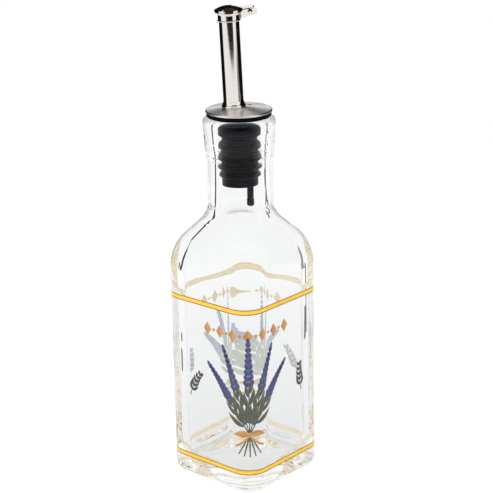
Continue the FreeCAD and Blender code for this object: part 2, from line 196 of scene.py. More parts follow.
# Frieze
FRIEZE_PITCH = 7.4
FRIEZE_LAST = 3
LOZENGE_Z = 73.2
LOZENGE_HEIGHT = 6.4
LOZENGE_WIDTH = 4.6
DOT_Z = 75.6
DOT_SIZE = 1.6

# Ink sprigs on the sides, with angles in radians
INK_ALONG = 34.0
INK_Z = 41.0
INK_TILT = 0.3
INK_BOW = 0.5
INK_LENGTH = 15.0
INK_WIDTH = 0.45
INK_ROWS = 5
INK_LEAF_SHARE = 0.2
INK_LEAF_PITCH = 0.16
INK_LEAF_SPREAD = 0.9
INK_LEAF_TURN = 0.2
INK_LEAF_LENGTHS = (4.6, 0.5)
INK_LEAF_WIDTH = 1.5
INK_LEAF_BOW = -0.7

# Glass ripple
RIPPLE_SIZE = 16.0
RIPPLE_HEIGHT = 0.08

# Camera, from the photograph's perspective
PHOTO_PIXELS = 493
FOCAL_PIXELS = 1606.2527
SENSOR = 36.0
CAMERA_AZIMUTH = math.radians(41.5785)
CAMERA_DISTANCE = 695.7225
CAMERA_HEIGHT = 333.6945
CAMERA_YAW = math.radians(-0.18301)
CAMERA_PITCH = math.radians(17.98421)
CAMERA_ROLL = math.radians(-1.11673)

# Room: the light on matt surfaces at its weakest and at its strongest, and how steeply the strongest comes down
WHITE = (1, 1, 1, 1)
LIGHT_WEAK = 0.6
LIGHT_STRONG = 1.35
LIGHT_RISE = 1.6

# Table, in metres: what it reflects, and what it gives of its own to the camera and, near the bottle and far from it,
# to everything else. The weaker glow near the bottle is a painted shadow.
TABLE_POINTS = 96
TABLE_RADIUS = 0.35
TABLE_DROP = 0.0002
TABLE_TONE = 0.35
TABLE_SHOWN_GLOW = 0.7
TABLE_PAINTED_SHADOW_GLOW = 0.47
TABLE_FAR_GLOW = 0.6
TABLE_NEAR = 0.03
TABLE_FAR = 0.3

# Bounces of light in all, and in mirrors or glass: some light leaves thick glass only after many. A count below
# NO_BOUNCE is none.
BOUNCES = 96
CLEAR_BOUNCES = 64
NO_BOUNCE = 0.5

# Inputs of a Mix node, whose names repeat
FACTOR, FLOAT_A, FLOAT_B, COLOUR_A, COLOUR_B = 0, 2, 3, 6, 7

# Where a dark card shows: in steel, in steel and in glass, or only in light that comes out of glass
STEEL, STEEL_AND_GLASS, GLASS = range(3)
CARD_BLACK = "#0C0A0B"
CARD_COLUMNS = 36
FAR_OFF = 3.0

# Dark cards, which show by reflection alone: name, distance from the bottle's axis, where it shows, tone, up to how
# far off it shows, and rows of a height and the two angles between which the card stands there. Lengths are in
# metres, angles in degrees from straight behind the bottle.
CARDS = (
    # Beside the bottle and in front of it, for the dark stripes of the steel and the greys of the glass
    ("left_curtain", 1.2, STEEL, CARD_BLACK, FAR_OFF,
     ((-0.2, -95, -40), (-0.11, -95, -9), (0.5, -95, -9), (0.62, -95, -2), (1.9, -95, -2))),
    ("right_curtain", 1.2, STEEL, CARD_BLACK, FAR_OFF,
     ((-0.125, 9, 78), (-0.05, 9, 100), (0.5, 9, 104), (0.62, 2, 104), (1.9, 2, 104))),
    ("right_edge", 1.2, STEEL, "#8C8082", FAR_OFF,
     ((-0.16, 76, 125), (-0.1, 90, 122), (-0.05, 100, 112), (0.0, 103, 104))),
    ("ear_shade", 1.2, STEEL, "#B9B4B1", FAR_OFF, ((-0.062, 112, 126), (-0.03, 112, 126))),
    ("front_wedge", 1.2, STEEL, CARD_BLACK, FAR_OFF, ((-0.089, 163, 167), (-0.044, 139, 216), (0.3, 139, 216))),
    ("front_canopy", 1.2, STEEL, CARD_BLACK, FAR_OFF, ((1.5, 139, 216), (4.0, 139, 216))),
    ("front_flag", 1.3, GLASS, "#6A6A70", FAR_OFF, ((-0.3, 115, 245), (1.2, 115, 245))),
    # Close round the lid, for its dark sides
    ("lid_ring", 0.03, STEEL, CARD_BLACK, 0.058, ((0.2205, 25, 358), (0.262, 25, 358))),
    ("lid_canopy", 0.014, STEEL, "#3A3033", 0.085, ((0.24, -90, 90), (0.302, -90, 90))),
    # For the dark lines inside the left and the right edge of the glass
    ("left_strip", 0.18, STEEL_AND_GLASS, CARD_BLACK, FAR_OFF,
     ((0.062, -53, -45), (0.075, -54, -46), (0.087, -58, -50), (0.1, -60, -52), (0.118, -61, -53), (0.136, -60, -54),
      (0.15, -52, -42), (0.17, -48, -37), (0.2, -48, -36))),
    ("left_middle_strip", 0.12, STEEL_AND_GLASS, CARD_BLACK, FAR_OFF,
     ((0.0725, -51, -44), (0.081, -54, -47), (0.087, -55, -48))),
    ("left_near_strip", 0.075, STEEL_AND_GLASS, CARD_BLACK, FAR_OFF, ((0.084, -47, -40), (0.0945, -53, -46))),
    ("left_low_strip", 0.18, STEEL_AND_GLASS, CARD_BLACK, FAR_OFF, ((-0.004, -42, -33), (0.006, -42, -33))),
    ("left_foot_strip", 0.13, STEEL_AND_GLASS, CARD_BLACK, FAR_OFF, ((0.002, -41, -31), (0.015, -43, -33))),
    ("right_strip", 0.5, STEEL_AND_GLASS, CARD_BLACK, FAR_OFF,
     ((-0.046, 31, 42), (-0.03, 34, 45), (-0.018, 37, 48), (-0.008, 42, 52), (0.004, 47, 56), (0.02, 48, 57))),
    ("right_near_strip", 0.18, STEEL_AND_GLASS, "#4E4C4B", FAR_OFF,
     ((0.002, 23, 31), (0.033, 24, 32), (0.056, 29, 37), (0.07, 32, 40))),
    ("right_upper_strip", 0.18, STEEL_AND_GLASS, "#8C8A88", FAR_OFF,
     ((0.05, 44, 52), (0.07, 46, 54), (0.09, 46, 54), (0.125, 49, 57))),
    ("right_low_strip", 0.18, STEEL_AND_GLASS, "#6E6C73", FAR_OFF, ((0.0, 33, 44), (0.02, 29, 41))),
)


def linear(code):
    """The linear colour of an sRGB hex value."""
    channels = [int(code[place:place + 2], 16) / 255 for place in (1, 3, 5)]
    return tuple(c / 12.92 if c <= 0.04045 else ((c + 0.055) / 1.055) ** 2.4 for c in channels) + (1.0,)


def add(tree, kind, inputs=None, **settings):
    """Adds a node with its settings, and sets or links its inputs by name or number."""
    node = tree.nodes.new(kind)
    for name, value in settings.items():
        setattr(node, name, value)
    for key, value in (inputs or {}).items():
        if isinstance(value, bpy.types.NodeSocket):
            tree.links.new(value, node.inputs[key])
        else:
            node.inputs[key].default_value = value
    return node


def new_material(name):
    """An empty node material and its node tree."""
    material = bpy.data.materials.new(name)
    material.use_nodes = True
    material.node_tree.nodes.clear()
    return material, material.node_tree


def surface(tree, shader):
    """Ends a material in a shader."""
    add(tree, "ShaderNodeOutputMaterial", {"Surface": shader.outputs[0]})


def clear_glass():
    """Blown soda-lime glass, fire polished: clear, with the slow ripple that blowing leaves in it."""
    material, tree = new_material("clear_soda_lime_glass")
    place = add(tree, "ShaderNodeTexCoord").outputs["Object"]
    ripple = add(tree, "ShaderNodeTexNoise", {"Vector": place, "Scale": 1 / (RIPPLE_SIZE * MM), "Detail": 1.0})
    bump = add(tree, "ShaderNodeBump", {"Height": ripple.outputs[0], "Distance": RIPPLE_HEIGHT * MM})
    surface(tree, add(tree, "ShaderNodeBsdfPrincipled", {
        "Base Color": linear("#FBFCFC"),
        "Roughness": 0.0,
        "IOR": 1.5,
        "Transmission Weight": 1.0,
        "Specular Tint": linear("#8C8C8C"),
        "Normal": bump.outputs[0],
    }))
    return material


def mottled(name, deep, pale, size, roughness, specular=0.5, sweep=0.0, grain=0.0):
    """A coat or moulding whose tone, gloss and level wander over a size, and along a stroke's width by sweep."""
    material, tree = new_material(name)
    place = add(tree, "ShaderNodeTexCoord")
    cloud = add(tree, "ShaderNodeTexNoise", {
        "Vector": place.outputs["Object"],
        "Scale": 1 / (size * MM),
        "Detail": 3.0,
    })
    spread = add(tree, "ShaderNodeMapRange", {
        "Value": cloud.outputs[0],
        "From Min": 0.3,
        "From Max": 0.7,
        "To Min": 0.0,
        "To Max": 1.0 - sweep,
    })
    across = add(tree, "ShaderNodeSeparateXYZ", {0: place.outputs["UV"]})
    share = add(tree, "ShaderNodeMath", {
        0: across.outputs["X"],
        1: sweep,
        2: spread.outputs[0],
    }, operation="MULTIPLY_ADD")
    tone = add(tree, "ShaderNodeMix", {
        FACTOR: share.outputs[0],
        COLOUR_A: linear(deep),
        COLOUR_B: linear(pale),
    }, data_type="RGBA")
    gloss = add(tree, "ShaderNodeMapRange", {
        "Value": cloud.outputs[0],
        "To Min": roughness * 0.8,
        "To Max": roughness * 1.2,
    })
    bump = add(tree, "ShaderNodeBump", {"Height": cloud.outputs[0], "Distance": grain * MM})
    surface(tree, add(tree, "ShaderNodeBsdfPrincipled", {
        "Base Color": tone.outputs[2],
        "Roughness": gloss.outputs[0],
        "Specular IOR Level": specular,
        "Normal": bump.outputs[0],
    }))
    return material


def drawn_steel():
    """Polished stainless steel tube and pressings: a mirror with faint lines along the draw."""
    material, tree = new_material("polished_stainless_steel")
    place = add(tree, "ShaderNodeTexCoord").outputs["Object"]
    across, along = 1 / (0.3 * MM), 1 / (30 * MM)
    lines = add(tree, "ShaderNodeMapping", {"Vector": place, "Scale": (across, across, along)})
    streak = add(tree, "ShaderNodeTexNoise", {"Vector": lines.outputs[0], "Scale": 1.0, "Detail": 2.0})
    tone = add(tree, "ShaderNodeMix", {
        FACTOR: streak.outputs[0],
        COLOUR_A: linear("#E2DDD8"),
        COLOUR_B: linear("#F1EEEA"),
    }, data_type="RGBA")
    gloss = add(tree, "ShaderNodeMapRange", {"Value": streak.outputs[0], "To Min": 0.04, "To Max": 0.1})
    surface(tree, add(tree, "ShaderNodeBsdfPrincipled", {
        "Base Color": tone.outputs[2],
        "Metallic": 1.0,
        "Roughness": gloss.outputs[0],
    }))
    return material


def ring_brushed_steel():
    """Satin stainless steel brushed in rings: a soft bright streak towards the eye and darker flanks."""
    material, tree = new_material("ring_brushed_stainless_steel")
    place = add(tree, "ShaderNodeTexCoord").outputs["Object"]
    rings = add(tree, "ShaderNodeTexWave", {
        "Vector": place,
        "Scale": 150.0,
        "Distortion": 6.0,
        "Detail": 4.0,
    }, wave_type="RINGS", rings_direction="Z")
    tone = add(tree, "ShaderNodeMix", {
        FACTOR: rings.outputs[0],
        COLOUR_A: linear("#E4DEDA"),
        COLOUR_B: linear("#F2EEEA"),
    }, data_type="RGBA")
    gloss = add(tree, "ShaderNodeMapRange", {"Value": rings.outputs[0], "To Min": 0.3, "To Max": 0.4})
    tangent = add(tree, "ShaderNodeTangent", direction_type="RADIAL", axis="Z")
    surface(tree, add(tree, "ShaderNodeBsdfPrincipled", {
        "Base Color": tone.outputs[2],
        "Metallic": 1.0,
        "Roughness": gloss.outputs[0],
        "Anisotropic": 0.9,
        "Anisotropic Rotation": 0.25,
        "Tangent": tangent.outputs[0],
    }))
    return material


def deselect():
    """Leaves nothing selected, so that an operator acts on the new piece alone."""
    if bpy.context.mode != "OBJECT":
        bpy.ops.object.mode_set(mode="OBJECT")
    bpy.ops.object.select_all(action="DESELECT")


def section(half, corner, bulge):
    """Points round a square with round corners whose sides bow out by an angle, anticlockwise from the +X side."""
    grow = 0.0
    centre = half - corner
    if bulge > 0:
        grow = (half - corner) / (1 + math.sin(bulge) - math.cos(bulge))
        centre = grow * math.sin(bulge)
    side_r = grow + corner
    first_half = []
    for step in range(SIDE_POINTS // 2):
        part = step / (SIDE_POINTS // 2)
        bow = bulge * part
        across = side_r * math.sin(bow) if bulge > 0 else centre * part
        first_half.append((half - side_r * (1 - math.cos(bow)), across))
    arc = []
    for step in range(CORNER_POINTS + 1):
        turn = bulge + (math.pi / 2 - 2 * bulge) * step / CORNER_POINTS
        arc.append((centre + corner * math.cos(turn), centre + corner * math.sin(turn)))
    second_half = [(y, x) for x, y in first_half[:0:-1]]
    points = first_half + arc + second_half
    ring = []
    for quarter in range(4):
        for x, y in points:
            for _ in range(quarter):
                x, y = -y, x
            ring.append((x, y))
    return ring


def blend_section(share, half, corner, neck):
    """The shoulder's section where a share of the way from the round neck to the square body is left."""
    diagonal = (half - corner) * math.sqrt(2) + corner
    bulge = SIDE_BULGE * (1 - share)
    bend = neck + (corner - neck) * share
    spread = math.sin(bulge) / (1 + math.sin(bulge) - math.cos(bulge)) if bulge > 0 else 1.0
    reach = neck + (diagonal - neck) * share
    return section(bend + (reach - bend) / (math.sqrt(2) * spread), bend, bulge)


def shoulder_rings(half, corner, neck, start):
    """(section, height) rings up the shoulder: an arc, a slope and an arc."""
    run = BODY_DIAGONAL - NECK_R
    rings = []
    for step in range(1, 2 * ROUND_RINGS):
        turn = SHOULDER_SLOPE * step / (2 * ROUND_RINGS)
        left = run - SHOULDER_R * (1 - math.cos(turn))
        rings.append((blend_section(left / run, half, corner, neck), start + SHOULDER_R * math.sin(turn)))
    for step in range(2 * ROUND_RINGS):
        turn = SHOULDER_SLOPE * (1 - step / (2 * ROUND_RINGS))
        left = NECK_FLARE_R * (1 - math.cos(turn))
        rise = SHOULDER_RISE - NECK_FLARE_R * math.sin(turn)
        rings.append((blend_section(left / run, half, corner, neck), start + rise))
    return rings


def round_ring(radius, z):
    """A round ring at a height, with as many points as the square ones."""
    return section(radius, radius, SIDE_BULGE), z


def fillet(edge_r, steps):
    """(inset, rise) pairs up a quarter round from a floor to a wall."""
    turns = [math.pi / 2 * step / steps for step in range(steps + 1)]
    return [(edge_r * (1 - math.sin(turn)), edge_r * (1 - math.cos(turn))) for turn in turns]


def three_point_arc(start, middle, end, steps):
    """Points on the circle through three (radius, height) points, with both ends."""
    ax, ay = start
    bx, by = middle
    cx, cy = end
    d = 2 * (ax * (by - cy) + bx * (cy - ay) + cx * (ay - by))
    ux = ((ax**2 + ay**2) * (by - cy) + (bx**2 + by**2) * (cy - ay) + (cx**2 + cy**2) * (ay - by)) / d
    uy = ((ax**2 + ay**2) * (cx - bx) + (bx**2 + by**2) * (ax - cx) + (cx**2 + cy**2) * (bx - ax)) / d
    radius = math.hypot(ax - ux, ay - uy)
    first = math.atan2(ay - uy, ax - ux)
    last = math.atan2(cy - uy, cx - ux)
    turns = [first + (last - first) * step / steps for step in range(steps + 1)]
    return [(ux + radius * math.cos(turn), uy + radius * math.sin(turn)) for turn in turns]


def even(low, high, step):
    """Heights between two heights, about a step apart, without the ends."""
    count = max(1, round(abs(high - low) / step))
    return [low + (high - low) * part / count for part in range(1, count)]


def ledge(radius, z, step):
    """Rings of a mould's small ledge, where a round form grows by a step on its way up."""
    return [round_ring(radius, z - CREASE), round_ring(radius, z), round_ring(radius + step, z + LEDGE_RISE),
            round_ring(radius + step, z + CREASE)]


def outer_rings():
    """Rings of the outside, from the push-up over the heel, the body, the shoulder and the neck to the rim."""
    rings = []
    push_ball = (PUSH_UP_R**2 + PUSH_UP_RISE**2) / (2 * PUSH_UP_RISE)
    for part in range(1, ROUND_RINGS + 1):
        radius = PUSH_UP_R * part / ROUND_RINGS
        rings.append(round_ring(radius, PUSH_UP_RISE - push_ball + math.sqrt(push_ball**2 - radius**2)))
    for inset, rise in fillet(HEEL_R, ROUND_RINGS):
        rings.append((section(BODY_HALF - inset, CORNER_R - inset, 0.0), rise))
    body = section(BODY_HALF, CORNER_R, 0.0)
    rings += [(body, z) for z in even(HEEL_R, SHOULDER_Z, BODY_STEP)]
    rings.append((body, SHOULDER_Z))
    rings += shoulder_rings(BODY_HALF, CORNER_R, NECK_R, SHOULDER_Z)
    rings.append(round_ring(NECK_R, NECK_Z))
    rings += [round_ring(NECK_R, z) for z in even(NECK_Z, FINISH_Z, NECK_STEP)]
    rings += ledge(NECK_R, FINISH_Z, FINISH_FOOT_LEDGE)
    bow_out, bow_up = FINISH_FOOT_BOW
    foot_top = FINISH_Z + FINISH_FOOT_RISE
    rim_low = RIM_Z - RIM_R
    foot_middle = (NECK_R + bow_out * (FINISH_FOOT_R - NECK_R), FINISH_Z + bow_up * FINISH_FOOT_RISE)
    foot = three_point_arc((NECK_R, FINISH_Z), foot_middle, (FINISH_FOOT_R, foot_top), ROUND_RINGS)
    rings += [round_ring(radius, z) for radius, z in foot[:-1] if radius > NECK_R + FINISH_FOOT_LEDGE]
    rings += ledge(FINISH_FOOT_R, foot_top, FINISH_TOP_LEDGE)
    top_foot_r = FINISH_FOOT_R + FINISH_TOP_LEDGE
    for z in even(foot_top, rim_low, FINISH_STEP):
        part = (z - foot_top) / (rim_low - foot_top)
        rings.append(round_ring(top_foot_r + (FINISH_TOP_R - top_foot_r) * part, z))
    for inset, rise in reversed(fillet(RIM_R, ROUND_RINGS)):
        rings.append(round_ring(FINISH_TOP_R - inset, RIM_Z - rise))
    return rings


def inner_rings():
    """Rings of the inside, from the mouth down the throat, the bore and the shoulder to the floor."""
    rings = []
    for inset, rise in fillet(MOUTH_LIP_R, LIP_RINGS):
        rings.append(round_ring(MOUTH_R + inset, RIM_Z - rise))
    mouth_low = RIM_Z - MOUTH_DEPTH
    throat_top = RIM_Z - THROAT_DEPTH
    throat_low = throat_top - THROAT_LENGTH
    relief_low = throat_low - THROAT_RELIEF
    inner_start = SHOULDER_Z - INNER_SHOULDER_DROP
    bore_low = inner_start + SHOULDER_RISE
    profile = [(MOUTH_R, RIM_Z - MOUTH_LIP_R), (MOUTH_R, mouth_low), (THROAT_R, throat_top), (THROAT_R, throat_low),
               (BORE_R, relief_low), (BORE_R, bore_low)]
    for (radius, z), (next_radius, next_z) in zip(profile, profile[1:]):
        for height in even(z, next_z, BORE_STEP) + [next_z]:
            part = (height - z) / (next_z - z)
            rings.append(round_ring(radius + (next_radius - radius) * part, height))
    inner_half = BODY_HALF - WALL
    rings += reversed(shoulder_rings(inner_half, INNER_CORNER_R, BORE_R, inner_start))
    body = section(inner_half, INNER_CORNER_R, 0.0)
    rings.append((body, inner_start))
    rings += [(body, z) for z in even(inner_start, FLOOR_Z + FLOOR_R, BODY_STEP)]
    for inset, rise in reversed(fillet(FLOOR_R, ROUND_RINGS)):
        rings.append((section(inner_half - inset, INNER_CORNER_R - inset, 0.0), FLOOR_Z + rise))
    for part in range(ROUND_RINGS - 1, 0, -1):
        share = part / ROUND_RINGS
        rings.append((section((inner_half - FLOOR_R) * share, (INNER_CORNER_R - FLOOR_R) * share, 0.0), FLOOR_Z))
    return rings


def bottle_glass():
    """One skin of glass, pulled ring by ring from the push-up under the base to the floor inside."""
    rings = outer_rings() + inner_rings()
    glass = start_ring("bottle_glass", rings[0], "TRIFAN")
    hub = min(bmesh.from_edit_mesh(glass.data).verts, key=lambda v: v.co.xy.length)
    hub.co.z = PUSH_UP_RISE * MM
    for ring in rings[1:]:
        pull_ring(glass, ring)
    bpy.ops.mesh.extrude_region_move()
    bpy.ops.mesh.merge(type="CENTER")
    bpy.ops.mesh.select_all(action="SELECT")
    bpy.ops.mesh.normals_make_consistent(inside=False)
    bpy.ops.object.mode_set(mode="OBJECT")
    bpy.ops.object.shade_smooth()
    glass.data.materials.append(clear_glass())
    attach(glass, "bottle")
    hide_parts("glass_bottle")


def place_ring(bm, column, ring):
    """Puts the selected ring of points where the ring says."""
    points, z = ring
    for vert in bm.verts:
        if vert.select:
            x, y = points[vert[column]]
            vert.co = Vector((x, y, z)) * MM


def start_ring(name, ring, fill_type):
    """A circle whose edge loop is selected, counted anticlockwise and put in the place of a ring."""
    deselect()
    bpy.ops.mesh.primitive_circle_add(vertices=len(ring[0]), radius=BODY_HALF * MM, fill_type=fill_type)
    made = bpy.context.object
    made.name = name
    bpy.ops.object.mode_set(mode="EDIT")
    bm = bmesh.from_edit_mesh(made.data)
    column = bm.verts.layers.int.new("column")
    loop = [v for v in bm.verts if v.co.length > BODY_HALF * MM / 2]
    loop.sort(key=lambda v: math.atan2(v.co.y, v.co.x) % math.tau)
    for place, vert in enumerate(loop):
        vert[column] = place
    for part in (*bm.faces, *bm.edges, *bm.verts):
        part.select = False
    for edge in bm.edges:
        if all(vert in loop for vert in edge.verts):
            edge.select_set(True)
    place_ring(bm, column, ring)
    bmesh.update_edit_mesh(made.data)
    return made


def pull_ring(made, ring):
    """Extrudes the selected edge loop to the next ring."""
    bpy.ops.mesh.extrude_region_move()
    bm = bmesh.from_edit_mesh(made.data)
    place_ring(bm, bm.verts.layers.int["column"], ring)
    bmesh.update_edit_mesh(made.data)


def apply_wall(made, thickness):
    """Gives an open print its thickness, towards the glass, with the next material slot on its back."""
    wall = made.modifiers.new("wall", "SOLIDIFY")
    wall.thickness = thickness * MM
    wall.offset = -1.0
    wall.material_offset = 1
    bpy.context.view_layer.objects.active = made
    bpy.ops.object.modifier_apply(modifier="wall")


def band(height, finishes):
    """A fired band round the body: yellow between two thin brown lines."""
    outline = section(BODY_HALF + BAND_PROUD, CORNER_R + BAND_PROUD, 0.0)
    low = height - BAND_YELLOW / 2 - BAND_LINE
    rows = [low, low + BAND_LINE, low + BAND_LINE + BAND_YELLOW, low + 2 * BAND_LINE + BAND_YELLOW]
    made = start_ring(f"enamel_band_{round(height)}", (outline, rows[0]), "NOTHING")
    for z in rows[1:]:
        pull_ring(made, (outline, z))
    bpy.ops.mesh.select_all(action="SELECT")
    bpy.ops.mesh.normals_make_consistent(inside=False)
    bpy.ops.object.mode_set(mode="OBJECT")
    for name in BAND_FINISHES:
        made.data.materials.append(finishes[name])
    for face in made.data.polygons:
        middle = face.center.z / MM
        face.material_index = YELLOW if rows[1] < middle < rows[2] else BROWN
    apply_wall(made, BAND_THICKNESS)
    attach(made, "bottle")


def on_body(along, height, proud):
    """The point of the body at a distance along its outline from the front corner, a little proud of it."""
    arc = CORNER_R * math.pi / 2
    centre = BODY_HALF - CORNER_R
    side, rest = divmod(along + arc / 2, arc + 2 * centre)
    if rest < arc:
        turn = rest / CORNER_R - math.pi / 2
        reach = CORNER_R + proud
        x, y = centre + reach * math.cos(turn), reach * math.sin(turn) - centre
    else:
        x, y = BODY_HALF + proud, rest - arc - centre
    for _ in range(int(side) % 4):
        x, y = -y, x
    return Vector((x, y, height)) * MM


def stroke(path, width, steps, slot, proud, columns=2):
    """A brush stroke of enamel: a grid laid along a path, as wide as width says, on the body's outside."""
    bpy.ops.mesh.primitive_grid_add(x_subdivisions=columns, y_subdivisions=steps, size=1.0)
    made = bpy.context.object
    for vert in made.data.vertices:
        across, part = vert.co.x, vert.co.y + 0.5
        here, before, after = path(part), path(part - HEADING_SHARE), path(part + HEADING_SHARE)
        heading = Vector((after[0] - before[0], after[1] - before[1])).normalized()
        reach = across * width(part)
        vert.co = on_body(here[0] + heading.y * reach, here[1] - heading.x * reach, PRINT_PROUD + proud)
    for face in made.data.polygons:
        face.material_index = slot
    return made


def line_path(start, angle, length, bow=0.0):
    """A path from a point, at an angle from upright, which turns by bow on its way."""
    def path(part):
        turn = angle + bow * part / 2
        return start[0] + math.sin(turn) * length * part, start[1] + math.cos(turn) * length * part
    return path


def leaf_width(widest):
    """Widths along a leaf, which ends in two points."""
    return lambda part: widest * math.sin(math.pi * min(max(part, 0.0), 1.0) ** 0.8)


def oval_width(widest):
    """Widths along an oval."""
    return lambda part: widest * math.sqrt(max(0.0, 1 - (2 * part - 1) ** 2))


def lozenge_width(widest):
    """Widths along a lozenge."""
    return lambda part: widest * (1 - abs(2 * part - 1))


def even_width(widest):
    """The same width all along."""
    return lambda part: widest


def smaller(sizes, place):
    """The size at a place in a row, from the first size and how much each next one is smaller."""
    first, less = sizes
    return first - less * place


def lavender(angle, length):
    """One sprig: a stem through the tie, slim leaves below and a spike of florets above."""
    made = []
    lean = math.radians(angle)
    stem = line_path(TIE, lean * STEM_LEAN, length, lean * STEM_BOW)
    tail = line_path(TIE, math.pi + lean * TAIL_LEAN, TAIL_LENGTH)
    made.append(stroke(stem, even_width(STEM_WIDTH), STEM_STEPS, LEAF, STEM_LAYER))
    made.append(stroke(tail, even_width(TAIL_WIDTH), TAIL_STEPS, LEAF, STEM_LAYER))
    for place, share in enumerate(LEAF_SHARES):
        width = leaf_width(smaller(LEAF_WIDTHS, place))
        for side in (-1, 1):
            root = stem(share + LEAF_STAGGER * side)
            spread = lean + side * math.radians(smaller(LEAF_SPREADS, place))
            leaf = line_path(root, spread, smaller(LEAF_LENGTHS, place), LEAF_BOW * side)
            made.append(stroke(leaf, width, LEAF_STEPS, LEAF, LEAF_LAYER + LEAF_LAYER_STEP * side))
    for row in range(FLORET_ROWS):
        root = stem(SPIKE_SHARE + (1 - SPIKE_SHARE) * row / FLORET_ROWS)
        width = oval_width(smaller(FLORET_WIDTHS, row))
        for side in (-1, 1):
            spread = lean + side * math.radians(smaller(FLORET_SPREADS, row))
            floret = line_path(root, spread, smaller(FLORET_LENGTHS, row), FLORET_BOW * side)
            made.append(stroke(floret, width, OVAL_STEPS, FLORET, FLORET_LAYER + FLORET_LAYER_STEP * row))
    tip = line_path(stem(TIP_SHARE), lean, TIP_LENGTH)
    made.append(stroke(tip, oval_width(TIP_WIDTH), OVAL_STEPS, FLORET, TIP_LAYER))
    return made


def ribbon():
    """The ochre bow that ties the sprigs."""
    made = []
    for side in (-1, 1):
        loop = line_path(TIE, math.radians(LOOP_SPREAD * side), LOOP_LENGTH, LOOP_BOW * side)
        made.append(stroke(loop, leaf_width(LOOP_WIDTH), RIBBON_STEPS, OCHRE, RIBBON_LOOP_LAYER, RIBBON_COLUMNS))
        end = line_path(TIE, math.radians(END_SPREAD * side), END_LENGTH, END_BOW * side)
        made.append(stroke(end, even_width(END_WIDTH), RIBBON_STEPS, OCHRE, RIBBON_END_LAYER))
    knot = line_path((TIE[0], TIE[1] - KNOT_HEIGHT / 2), 0.0, KNOT_HEIGHT)
    made.append(stroke(knot, oval_width(KNOT_WIDTH), OVAL_STEPS, OCHRE, KNOT_LAYER))
    return made


def frieze():
    """Ochre lozenges and dots in a row under the upper band."""
    made = []
    for place in range(-FRIEZE_LAST, FRIEZE_LAST + 1):
        along = place * FRIEZE_PITCH
        lozenge = line_path((along, LOZENGE_Z), 0.0, LOZENGE_HEIGHT)
        width = lozenge_width(LOZENGE_WIDTH)
        made.append(stroke(lozenge, width, LOZENGE_STEPS, OCHRE, FRIEZE_LAYER, LOZENGE_COLUMNS))
        if place < FRIEZE_LAST:
            dot = line_path((along + FRIEZE_PITCH / 2, DOT_Z), 0.0, DOT_SIZE)
            made.append(stroke(dot, oval_width(DOT_SIZE), DOT_STEPS, OCHRE, FRIEZE_LAYER))
    return made


def side_sprig(along, tilt):
    """A small ink sprig in the middle of a side."""
    made = []
    stem = line_path((along, INK_Z), tilt, INK_LENGTH, INK_BOW)
    made.append(stroke(stem, even_width(INK_WIDTH), INK_STEM_STEPS, INK, INK_STEM_LAYER))
    for row in range(INK_ROWS):
        root = stem(INK_LEAF_SHARE + INK_LEAF_PITCH * row)
        for side in (-1, 1):
            spread = tilt + side * INK_LEAF_SPREAD + INK_LEAF_TURN
            leaf = line_path(root, spread, smaller(INK_LEAF_LENGTHS, row), INK_LEAF_BOW * side)
            made.append(stroke(leaf, leaf_width(INK_LEAF_WIDTH), INK_LEAF_STEPS, INK, INK_LEAF_LAYER))
    return made


def corner_prints(finishes):
    """The print of the front corner, as one piece of closed strokes, and its copy on the corner behind."""
    deselect()
    parts = [part for angle, length in zip(SPRIG_ANGLES, SPRIG_LENGTHS) for part in lavender(angle, length)]
    parts += ribbon() + frieze() + side_sprig(-INK_ALONG, INK_TILT) + side_sprig(INK_ALONG, -INK_TILT)
    deselect()
    for part in parts:
        for finish in PRINT_FINISHES:
            part.data.materials.append(finishes[finish])
        part.select_set(True)
    made = parts[0]
    bpy.context.view_layer.objects.active = made
    bpy.ops.object.join()
    made.name = "enamel_print_front"
    bpy.ops.object.mode_set(mode="EDIT")
    bpy.ops.mesh.select_all(action="SELECT")
    bpy.ops.mesh.remove_doubles(threshold=PRINT_WELD * MM)
    bpy.ops.object.mode_set(mode="OBJECT")
    apply_wall(made, PRINT_THICKNESS)
    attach(made, "bottle")
    back = made.copy()
    back.data = made.data.copy()
    back.name = "enamel_print_back"
    bpy.context.scene.collection.objects.link(back)
    for vert in back.data.vertices:
        vert.co = Vector((-vert.co.x, -vert.co.y, vert.co.z))
    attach(back, "bottle")


def enamel_print():
    """Fired ceramic enamel: opaque and satin, with the slightly uneven coat of a screen or a brush. Through the glass
    its back shows paler: the pale backs are painted light, standing in for the light that comes through the enamel
    from outside."""
    finishes = {
        "yellow": mottled("yellow_enamel", "#FFCB1E", "#FFDC42", 4.0, 0.32, grain=0.01),
        "brown": mottled("brown_enamel", "#96581F", "#B06F32", 2.0, 0.32, grain=0.01),
        "ochre": mottled("ochre_enamel", "#A96C2C", "#DDAE6C", 1.5, 0.35, sweep=0.6, grain=0.01),
        "leaf": mottled("leaf_enamel", "#30342B", "#6F7563", 1.5, 0.35, sweep=0.6, grain=0.01),
        "floret": mottled("floret_enamel", "#23264A", "#5D6196", 1.0, 0.35, sweep=0.6, grain=0.01),
        "ink": mottled("ink_enamel", "#2B2B2D", "#565659", 1.5, 0.35, sweep=0.5, grain=0.01),
        # Backs paler than their fronts: painted light, for the light that comes through the enamel from outside
        "yellow_back": mottled("yellow_enamel_back_painted_light", "#F7E8C8", "#FDF3DC", 4.0, 0.6),
        "brown_back": mottled("brown_enamel_back_painted_light", "#EFDCB4", "#F7E8C8", 2.0, 0.6),
        "ochre_back": mottled("ochre_enamel_back_painted_light", "#E6D2B2", "#F2E2C8", 1.5, 0.6),
        "leaf_back": mottled("leaf_enamel_back_painted_light", "#D2D5CB", "#E0E2DB", 1.5, 0.6),
        "floret_back": mottled("floret_enamel_back_painted_light", "#BCBFD4", "#D0D2E2", 1.5, 0.6),
        "ink_back": mottled("ink_enamel_back_painted_light", "#B4B4B9", "#CACACE", 1.5, 0.6),
    }
    for height in BAND_HEIGHTS:
        band(height, finishes)
    corner_prints(finishes)


